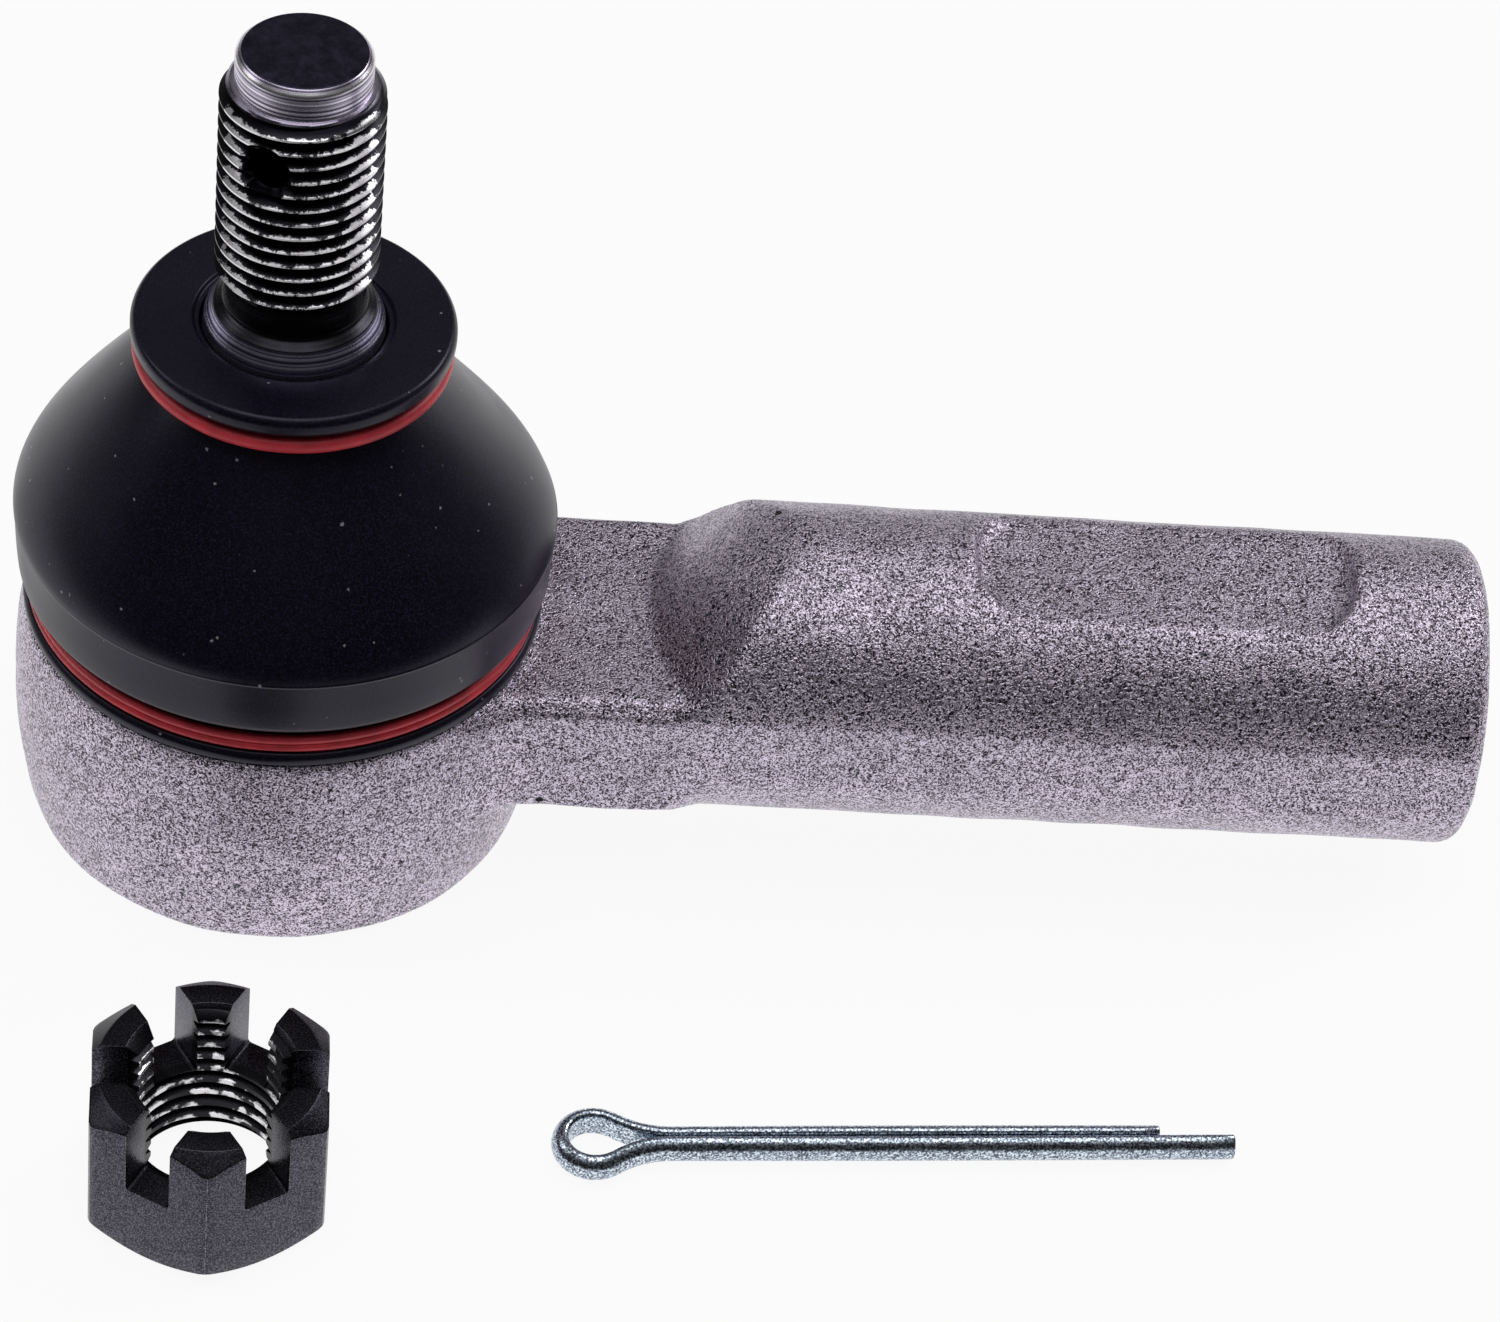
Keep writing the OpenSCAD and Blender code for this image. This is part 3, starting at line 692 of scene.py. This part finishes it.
class TIEROD_OT_stud(Operator):
    """Makes the ball stud with its real thread and its cotter hole"""

    bl_idname = "tie_rod.stud"
    bl_label = "Ball Stud"

    def execute(self, context):
        own = sizes()
        ball_r, neck_r, undercut_r, pilot_r = 10.5, 5.6, 5.2, 4.95
        low_root, high_root, thread_depth = 5.3, 5.25, 0.767
        fall = np.linspace(-np.arcsin((BALL_Z - STUD_FOOT) / ball_r), np.arccos(neck_r / ball_r), 40)
        ball = np.stack([ball_r * np.cos(fall), BALL_Z + ball_r * np.sin(fall)], axis=1)
        shaft = corners([
            (neck_r, ball[-1, 1], 0), (neck_r, 30.6, 0.6), (7.0, 31.0, 0.3), (7.59, 31.6, 0.3),
            (6.65, TAPER_TOP - 1.2, 0.12), (STUD_R, TAPER_TOP, 0.1), (undercut_r, TAPER_TOP + 0.5, 0.3),
            (undercut_r, THREAD_LOW - 0.6, 0.2), (low_root, THREAD_LOW, 0)])
        below = np.concatenate([[(0, STUD_FOOT)], ball, shaft[1:]])

        def shaft_radius(z):
            """The stud's radius with its two chamfers: 45 degrees below, a little steeper above."""
            above = high_root + (THREAD_HIGH - z) * 0.9
            return np.minimum(low_root + z - THREAD_LOW, np.minimum(STUD_R, above))

        thread = threaded_rows(THREAD_LOW, THREAD_HIGH, own.stud_pitch, STUD_R, thread_depth, own.segments,
                               shaft_radius, taper_in=0.05)
        above = corners([
            (high_root, THREAD_HIGH, 0), (pilot_r, THREAD_HIGH + 0.02, 0.01),
            (pilot_r, STUD_TIP - 0.45, 0.12), (4.5, STUD_TIP, 0.15), (0, STUD_TIP, 0)])
        lower, upper = (closed_round(turned(part, own.segments)) for part in (below, above))
        whole = np.concatenate([lower, thread, upper])
        stud = new_piece("threaded_stud", (whole, False, False), None)
        hole_r, mouth_r, straight, reach = 1.6, 4.5, 5.1, 8
        drill = corners([
            (0, -reach, 0), (mouth_r, -reach, 0), (hole_r, -straight, 0.2), (hole_r, straight, 0.2),
            (mouth_r, reach, 0), (0, reach, 0)])
        lay = Matrix.Rotation(HOLE_TURN, 3, "Z") @ Matrix.Rotation(np.pi / 2, 3, "Y")
        cut(stud, tool_piece("drill_tool", (turned(drill, 48), True, False), lay, (0, 0, HOLE_Z)))
        smooth(stud.data, 50)
        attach(stud, "stud")
        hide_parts("ball_stud")
        dress(stud, black_oxide_stud(colours().stud))
        return {"FINISHED"}


class TIEROD_OT_boot(Operator):
    """Makes the dust boot as one moulded rubber wall whose dome leans to one side"""

    bl_idname = "tie_rod.boot"
    bl_label = "Dust Boot"

    def execute(self, context):
        own = sizes()
        top = BOOT_TOP
        outer = bezier((20.44, SEAM_Z + 0.1), (20.25, 30.1), (16.5, 34.1), (10.35, 42.3), 48)
        inner = bezier((9.7, 41.5), (17.2, 30.2), (16.7, 32.0), (18.6, SEAM_Z), 36)
        bead = corners([
            (17.65, 19.1, 0), (19.75, 19.1, 0.25), (19.8, 19.8, 0.2), (19.5, 20.15, 0.1), (18.5, 20.2, 0.05),
            (18.5, 22.45, 0.05), (19.6, 22.5, 0.12), (20.15, 22.95, 0.4), (20.3, 24.6, 0.8),
            (20.42, SEAM_Z - 0.12, 0.1), (20.48, SEAM_Z, 0.05), (20.44, SEAM_Z + 0.1, 0)])
        disc = corners([
            (10.6, 42.45, 0), (10.55, 42.6, 0.05), (10.55, 44.05, 0.1), (11.6, 44.15, 0.15),
            (12.0, 44.6, 0.25), (12.0, 45.5, 0.25), (11.65, top, 0.2), (7.5, top, 0.1),
            (7.3, top - 0.3, 0.1), (6.95, top - 0.35, 0.12), (7.05, 42.0, 0)])
        foot = corners([
            (18.4, 24.3, 0), (17.65, 23.6, 0.3), (17.65, 22.7, 0.1), (16.95, 22.3, 0.1), (16.95, 20.7, 0.1),
            (17.65, 20.3, 0)])
        wall = turned(np.concatenate([bead, outer, disc, inner, foot]), 160)
        dome_height = 15.0
        lean = np.sin(np.pi * np.clip((wall[..., 2] - SEAM_Z) / dome_height, 0, 1) ** 1.4)
        wall[..., 0] -= own.boot_lean * np.maximum(lean, 0) ** 0.5
        boot = new_piece("rubber_boot", (wall, True, True), None, sharp=60)
        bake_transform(boot)
        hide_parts("dust_boot")
        dress(boot, moulded_rubber(colours().rubber))
        return {"FINISHED"}


class TIEROD_OT_rings(Operator):
    """Makes the single ring under the disc and the two-turn ring round the bead"""

    bl_idname = "tie_rod.rings"
    bl_label = "Boot Rings"

    def execute(self, context):
        coat = red_coated_wire(colours().rings)
        single = ring_coil(11.23, 43.15, 0.64, 1.0, 0.0)
        upper = new_piece("upper_wire_ring", (single, True, False), "collar", "upper_ring")
        dress(upper, coat)
        double = ring_coil(19.15, 20.6, 0.37, 2.0, 0.72)
        lower = new_piece("lower_wire_ring", (double, True, False), "housing", "lower_ring")
        dress(lower, coat)
        return {"FINISHED"}


def ring_coil(radius, z, wire, turns, rise, steps=144):
    """A wire bent into flat turns with one step up between them at the back.

    Along the wire the angle runs through all turns, and the height is z plus rise times a smooth step in the
    middle tenth of the run; around it a circle of the wire's radius lies in the plane of the axis.
    """
    run = np.linspace(0, 1, int(steps * turns) + 1)
    step = np.clip((run - 0.45) / 0.1, 0, 1)
    height = z + rise * step**2 * (3 - 2 * step)
    angle = np.pi / 2 + 2 * np.pi * turns * run
    about = np.linspace(0, 2 * np.pi, 14, endpoint=False)
    thick = wire * np.ones_like(run)
    if rise:
        thick[[0, -1]] = 0
    r = radius + thick[:, None] * np.cos(about)
    up = height[:, None] + thick[:, None] * np.sin(about)
    return np.stack([r * np.cos(angle)[:, None], r * np.sin(angle)[:, None], up], axis=-1)


def slot_cutter(way, height):
    """The bar that cuts two opposite slots into the nut's top, with its lower edges rounded."""
    half_width, half_length, slot_depth, edge = 1.8, 14.0, 6.0, 0.35
    section = corners([
        (-half_width, height - slot_depth, edge), (half_width, height - slot_depth, edge),
        (half_width, height + 2, 0), (-half_width, height + 2, 0)])
    bar = np.stack([np.insert(section, 0, x, axis=1) for x in (-half_length, half_length)])
    near, far = bar.mean(axis=1, keepdims=True).repeat(len(section), 1)
    return tool_piece("slot_tool", (np.stack([near, *bar, far]), True, False), Matrix.Rotation(way, 3, "Z"))


class TIEROD_OT_nut(Operator):
    """Makes the castle nut with rounded edges, slots and its real thread"""

    bl_idname = "tie_rod.nut"
    bl_label = "Castle Nut"

    def execute(self, context):
        half, height, turn = 17.0 / 2, NUT_HIGH[2], np.radians(-87.9)
        bore_r, mouth_r, lead, corner_loss, flat_r = 5.35, 6.35, 1.0, 0.14, half - 0.4
        chamfer = np.radians(38)
        angle = np.linspace(0, 2 * np.pi, 144, endpoint=False)
        side = half / np.cos((angle % (np.pi / 3)) - np.pi / 6)
        side = np.minimum(side, half / np.cos(np.pi / 6) - corner_loss)
        chamfer_r = flat_r + (side - flat_r) * np.linspace(0, 1, 6)[:, None]
        drop = (chamfer_r - flat_r) * np.tan(chamfer)

        def ring(r, z):
            r, z, way = np.broadcast_arrays(np.atleast_2d(r), np.atleast_2d(z), angle + turn)
            return np.stack([r * np.cos(way), r * np.sin(way), z], axis=-1)

        share = np.linspace(0, 1, 10)[1:-1, None]
        blank = np.concatenate([
            ring(bore_r, lead), ring(mouth_r, 0), ring(chamfer_r, drop),
            ring(side, drop[-1] + share * (height - 2 * drop[-1])),
            ring(chamfer_r[::-1], height - drop[::-1]), ring(mouth_r, height), ring(bore_r, height - lead)])
        nut = new_piece("castle_nut_body", (blank, True, True), None)
        for way in (30, 90, 150):
            cut(nut, slot_cutter(np.radians(way) + turn, height))
        coat = colours().nut
        # The bevelled edges take a copy of the coat nine times lighter: a painted highlight along every edge.
        dress(nut, phosphated_nut("phosphated_steel", coat),
              phosphated_nut("phosphate_edge_highlight", shade(coat, 9.0)[:3]))
        bevel = nut.modifiers.new("edges", "BEVEL")
        bevel.width, bevel.segments = 0.24 * MM, 3
        bevel.limit_method, bevel.angle_limit = "ANGLE", np.radians(25)
        # The bevel's faces take that pale copy, the painted edge highlight.
        bevel.material = 1
        bake_modifiers(nut)
        tap_r, past = 6.05, 3.0
        tap = threaded_rows(-past, height + past, sizes().stud_pitch, tap_r, 0.8, 96, lambda z: tap_r + 0 * z)
        caps = [np.array([[(0.0, 0.0, z)] * tap.shape[1]]) for z in (-past, height + past)]
        cut(nut, tool_piece("tap_tool", (np.concatenate([caps[0], tap, caps[1]]), False, False)))
        nut.data.transform(Matrix.Translation(Vector((*NUT_MIDDLE, 0)) * MM))
        smooth(nut.data, 35)
        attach(nut, "nut")
        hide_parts("castle_nut")
        return {"FINISHED"}


class TIEROD_OT_pin(Operator):
    """Makes the split pin from one folded half-round wire"""

    bl_idname = "tie_rod.pin"
    bl_label = "Split Pin"

    def execute(self, context):
        wire, eye, flare, gap = 1.25, 1.9, 8.0, 0.04
        long_leg, short_leg = 51.0, 45.4
        swing, place = np.radians(3.9), (22.1, -39.7, 0)
        eye_x = eye + wire
        flare_x = eye_x + np.sqrt(eye**2 + 2 * eye * flare)
        turn = np.arctan2(flare, flare_x - eye_x)

        def leg(end, side, steps=40):
            x = np.linspace(end, flare_x, steps)[:, None]
            bow = 0.05 * np.sin(np.pi * (x - flare_x) / (end - flare_x))
            return np.hstack([x, side * (gap + bow)])

        def bend(side, steps=24):
            a = np.linspace(-np.pi / 2, turn - np.pi, steps)[:, None]
            return np.hstack([flare_x + flare * np.cos(a), side * (flare + gap + flare * np.sin(a))])

        loop = np.linspace(turn, 2 * np.pi - turn, 64)[:, None]
        eye_arc = np.hstack([eye_x + eye * np.cos(loop), eye * np.sin(loop)])
        path = np.concatenate([
            leg(short_leg, 1), bend(1)[1:], eye_arc[1:-1], bend(-1)[::-1][:-1], leg(long_leg, -1)[::-1]])
        along = np.gradient(path, axis=0)
        along /= np.linalg.norm(along, axis=1, keepdims=True)
        out = np.stack([along[:, 1], -along[:, 0]], axis=1)
        section = half_round(wire, 0.4)
        spots = np.concatenate([
            path[:, None, :] + out[:, None, :] * section[None, :, :1],
            np.broadcast_to(section[None, :, 1:] + wire, (len(path), len(section), 1))], axis=2)
        tips = []
        for end, way in ((0, 1), (-1, -1)):
            centre = spots[end].mean(axis=0)
            push = np.append(-along[end] * way, 0) * 0.1
            tips.append([centre + (spots[end] - centre) * k + push for k in (0.93, 0.0)])
        whole = np.concatenate([tips[0][::-1], spots, tips[1]])
        pin = new_piece("split_pin", (whole, True, False), None, sharp=50)
        pin.data.transform(Matrix.Translation(Vector(place) * MM) @ Matrix.Rotation(swing, 4, "Z"))
        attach(pin, "pin")
        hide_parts("cotter_pin")
        dress(pin, zinc_plated_wire(colours().pin))
        return {"FINISHED"}


def half_round(wire, soft):
    """Section (out, up) of a half-round wire, centred on its flat, whose two edges are rounded by soft."""
    inner = wire - soft
    lift = np.arcsin(soft / inner)
    side = inner * np.cos(lift)
    back = np.linspace(lift, np.pi - lift, 13)
    edge = np.linspace(np.pi - lift, 1.5 * np.pi, 6)
    return np.concatenate([
        np.stack([wire * np.sin(back), wire * np.cos(back)], axis=1),
        np.stack([soft + soft * np.sin(edge), -side + soft * np.cos(edge)], axis=1)[1:],
        np.stack([soft + soft * np.sin(edge[::-1]), side - soft * np.cos(edge[::-1])], axis=1)[:-1]])


class TIEROD_OT_stage(Operator):
    """Makes the floor, the lamps, the world and the camera"""

    bl_idname = "tie_rod.stage"
    bl_label = "Stage"

    def execute(self, context):
        scene = context.scene
        view = scene.tie_rod_view
        mesh = bpy.data.meshes.new("floor")
        reach, below = 3.0, -5e-5
        floor_corners = [(x * reach, y * reach, below) for x, y in ((-1, -1), (1, -1), (1, 1), (-1, 1))]
        mesh.from_pydata(floor_corners, [], [(0, 1, 2, 3)])
        floor = bpy.data.objects.new("floor", mesh)
        scene.collection.objects.link(floor)
        floor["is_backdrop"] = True
        dress(floor, floor_paper(view.floor_colour))
        build_world(scene)
        lamp(scene, "overhead", (0.0, -0.12, 1.1), (0.03, 0.0, 0.02), 0.9, 3.0)
        lamp(scene, "left", (-1.05, 0.2, 0.8), (0.0, 0.0, 0.02), 0.5, 1.8)
        lamp(scene, "right", (0.95, 0.6, 0.8), (0.04, 0.0, 0.02), 0.5, 4.6)

        scene.view_settings.view_transform = "Standard"
        data = bpy.data.cameras.new("camera")
        data.sensor_fit = "AUTO"
        data.sensor_width = 36.0
        data.lens = view.lens
        data.clip_start, data.clip_end = 0.01, 10.0
        camera = bpy.data.objects.new("camera", data)
        scene.collection.objects.link(camera)
        tilt = Matrix.Rotation(np.pi / 2 - view.elevation, 4, "X")
        turn = Matrix.Rotation(view.azimuth, 4, "Z")
        roll = Matrix.Rotation(view.roll, 4, "Z")
        camera.matrix_world = Matrix.Translation(view.place) @ turn @ tilt @ roll
        scene.camera = camera
        return {"FINISHED"}


def floor_paper(colour):
    """White paper: white to the camera, with soft shadows.

    Metal and rubber show it white beside and behind the part, and dark far in front of it.
    """
    material, tree, place = new_material("white_paper")
    ahead = add(tree, "SeparateXYZ", {0: place}, "Y")
    pool = add(tree, "MapRange", {"Value": ahead, 1: -105.0, 2: -45.0, 3: 0.04, 4: 1.0},
               interpolation_type="SMOOTHSTEP")
    paper = add(tree, "BsdfDiffuse", {"Color": (*colour, 1.0)})
    seen = add(tree, "LightPath", out="Is Camera Ray")
    paths = seen.node.outputs
    mirrored = add(
        tree, "Math", {0: paths["Is Glossy Ray"], 1: paths["Is Transmission Ray"]}, operation="MAXIMUM")
    bright = add(tree, "Mix", {0: mirrored, 2: 1.0, 3: pool}, data_type="FLOAT")
    glow = add(tree, "Emission", {"Color": grey(1.0), "Strength": bright})
    share = add(tree, "Math", {0: seen, 1: 0.92, 2: mirrored}, operation="MULTIPLY_ADD")
    both = add(tree, "MixShader", {0: share, 1: paper, 2: glow})
    add(tree, "OutputMaterial", {"Surface": both})
    return material


def build_world(scene):
    """A studio: dark from below to half way up, bright overhead, and a little lighter behind the part.

    The camera sees it white all round.
    """
    world = bpy.data.worlds.new("studio")
    scene.world = world
    world.use_nodes = True
    tree = world.node_tree
    tree.nodes.clear()
    way = add(tree, "TexCoord", out="Generated")
    height = add(tree, "SeparateXYZ", {0: way}, "Z")
    place = add(tree, "MapRange", {"Value": height, 1: -1.0, 2: 1.0})
    room = add(tree, "ValToRGB", {0: place}, stops=[
        (0.0, grey(0.03)), (0.51, grey(0.03)), (0.75, grey(0.04)), (0.835, grey(0.08)),
        (0.885, grey(0.17)), (0.935, grey(0.42)), (0.98, grey(0.7)), (1.0, grey(0.7))])
    back = add(tree, "MapRange", {"Value": height.node.outputs["Y"], 1: 0.3, 2: 0.8, 3: 0.0, 4: 0.1})
    room = add(tree, "Mix", {0: 1.0, 6: room, 7: back}, data_type="RGBA", blend_type="ADD")
    seen = add(tree, "LightPath", out="Is Camera Ray")
    dim = add(tree, "Background", {"Color": room, "Strength": 1.0})
    white = add(tree, "Background", {"Color": grey(1.0), "Strength": 1.0})
    both = add(tree, "MixShader", {0: seen, 1: dim, 2: white})
    add(tree, "OutputWorld", {"Surface": both})


def lamp(scene, name, place, target, size, power):
    """A square soft box that faces its target."""
    data = bpy.data.lights.new(name, "AREA")
    data.shape, data.size, data.energy = "SQUARE", size, power
    thing = bpy.data.objects.new(name, data)
    scene.collection.objects.link(thing)
    thing.location = place
    thing.rotation_mode = "QUATERNION"
    thing.rotation_quaternion = (Vector(target) - Vector(place)).to_track_quat("-Z", "Y")


# ---- Where things show in the photograph's frame ----


def shown(camera, spots):
    """Image x and y of points in the row frame: their place in the camera's axes, scaled by the lens."""
    local = np.c_[spots, np.ones(len(spots))] @ np.array(camera.matrix_world.inverted()).T
    scale = LONG_SIDE * camera.data.lens / camera.data.sensor_width / -local[:, 2]
    x = PHOTO_W / 2 - camera.data.shift_x * LONG_SIDE + local[:, 0] * scale
    y = PHOTO_H / 2 + camera.data.shift_y * LONG_SIDE - local[:, 1] * scale
    return np.c_[x, y]


def write_points():
    """Works out how far each named thing shows from its image point; the numbers are not kept."""
    camera = bpy.context.scene.camera
    depsgraph = bpy.context.evaluated_depsgraph_get()
    everything = {}
    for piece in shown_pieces():
        final = piece.evaluated_get(depsgraph)
        mesh = final.to_mesh()
        spots = np.empty(len(mesh.vertices) * 3)
        mesh.vertices.foreach_get("co", spots)
        matrix = piece.matrix_world
        spots = spots.reshape(-1, 3) @ np.array(matrix.to_3x3()).T + np.array(matrix.translation)
        everything[piece.name] = (spots, [tuple(face.vertices) for face in mesh.polygons])
        final.to_mesh_clear()
    verts = np.concatenate([v for v, _ in everything.values()])
    starts = np.cumsum([0] + [len(v) for v, _ in everything.values()])
    faces = [tuple(i + s for i in f) for (_, fs), s in zip(everything.values(), starts) for f in fs]
    tree = BVHTree.FromPolygons(verts.tolist(), faces)
    eye = camera.matrix_world.translation

    def edge(piece, axis, sign, keep=lambda p: np.ones(len(p), bool)):
        spots = everything[piece][0]
        spots = spots[keep(spots / MM)]
        places = shown(camera, spots)
        tries, slack = 400, 3e-4
        for i in np.argsort(-sign * places[:, axis])[:tries]:
            way = Vector(spots[i]) - eye
            hit = tree.ray_cast(eye, way.normalized())
            if hit[0] is None or hit[3] > way.length - slack:
                return float(places[i, axis])
        return None

    def feature(spot):
        return shown(camera, np.array([spot]) * MM)[0].tolist()

    def on_disc(spots):
        return spots[:, 2] > DISC_SIDE_Z

    results = {
        "stud_top": (None, edge("threaded_stud", 1, -1)),
        "stud_pilot_left": (edge("threaded_stud", 0, -1, lambda p: p[:, 2] > STUD_TIP - 1.2), None),
        "disc_left": (edge("rubber_boot", 0, -1, on_disc), None),
        "disc_right": (edge("rubber_boot", 0, 1, on_disc), None),
        "boot_left": (edge("rubber_boot", 0, -1), None),
        "boot_right": (edge("rubber_boot", 0, 1), None),
        "housing_bottom": (None, edge("forged_housing", 1, 1, lambda p: p[:, 0] < 20)),
        "shank_right": (edge("forged_housing", 0, 1), None),
        "pad_far_left": feature((53.0, 3.01, PAD_Z)),
        "pad_near_left": feature((54.5, -5.1, PAD_Z)),
        "cotter_hole": feature((STUD_R * np.cos(HOLE_TURN), STUD_R * np.sin(HOLE_TURN), HOLE_Z)),
        "nut_left": (edge("castle_nut_body", 0, -1), None),
        "nut_right": (edge("castle_nut_body", 0, 1), None),
        "nut_bottom": (None, edge("castle_nut_body", 1, 1)),
        "pin_eye_left": (edge("split_pin", 0, -1), None),
        "pin_long_tip": (edge("split_pin", 0, 1), None),
    }
    for name, point in IMAGE_POINTS.items():
        pairs = zip(results[name], point)
        [None if a is None or b is None else round(a - b, 1) for a, b in pairs]


# ---- Panel and registration ----

MAKERS = ("housing", "inside", "stud", "boot", "rings", "nut", "pin", "stage")


class TIEROD_PT_panel(Panel):
    """Lists the pieces' operators and their sizes"""

    bl_label = "Tie Rod End"
    bl_idname = "TIEROD_PT_panel"
    bl_space_type = "VIEW_3D"
    bl_region_type = "UI"
    bl_category = "Tie Rod End"

    def draw(self, context):
        layout = self.layout
        for maker in MAKERS:
            layout.operator("tie_rod." + maker)
        for group in (context.scene.tie_rod_sizes, context.scene.tie_rod_colours, context.scene.tie_rod_view):
            box = layout.box()
            for name in group.__annotations__:
                box.prop(group, name)


CLASSES = (
    TIEROD_PG_view, TIEROD_PG_sizes, TIEROD_PG_colours, TIEROD_OT_housing, TIEROD_OT_inside, TIEROD_OT_stud,
    TIEROD_OT_boot, TIEROD_OT_rings, TIEROD_OT_nut, TIEROD_OT_pin, TIEROD_OT_stage, TIEROD_PT_panel,
)


def register():
    for kind in CLASSES:
        bpy.utils.register_class(kind)
    bpy.types.Scene.tie_rod_view = PointerProperty(type=TIEROD_PG_view)
    bpy.types.Scene.tie_rod_sizes = PointerProperty(type=TIEROD_PG_sizes)
    bpy.types.Scene.tie_rod_colours = PointerProperty(type=TIEROD_PG_colours)


def unregister():
    for name in ("tie_rod_view", "tie_rod_sizes", "tie_rod_colours"):
        delattr(bpy.types.Scene, name)
    for kind in reversed(CLASSES):
        bpy.utils.unregister_class(kind)


def main():
    register()
    for maker in MAKERS:
        getattr(bpy.ops.tie_rod, maker)()
    bpy.context.view_layer.update()
    write_points()


if __name__ == "__main__":
    main()
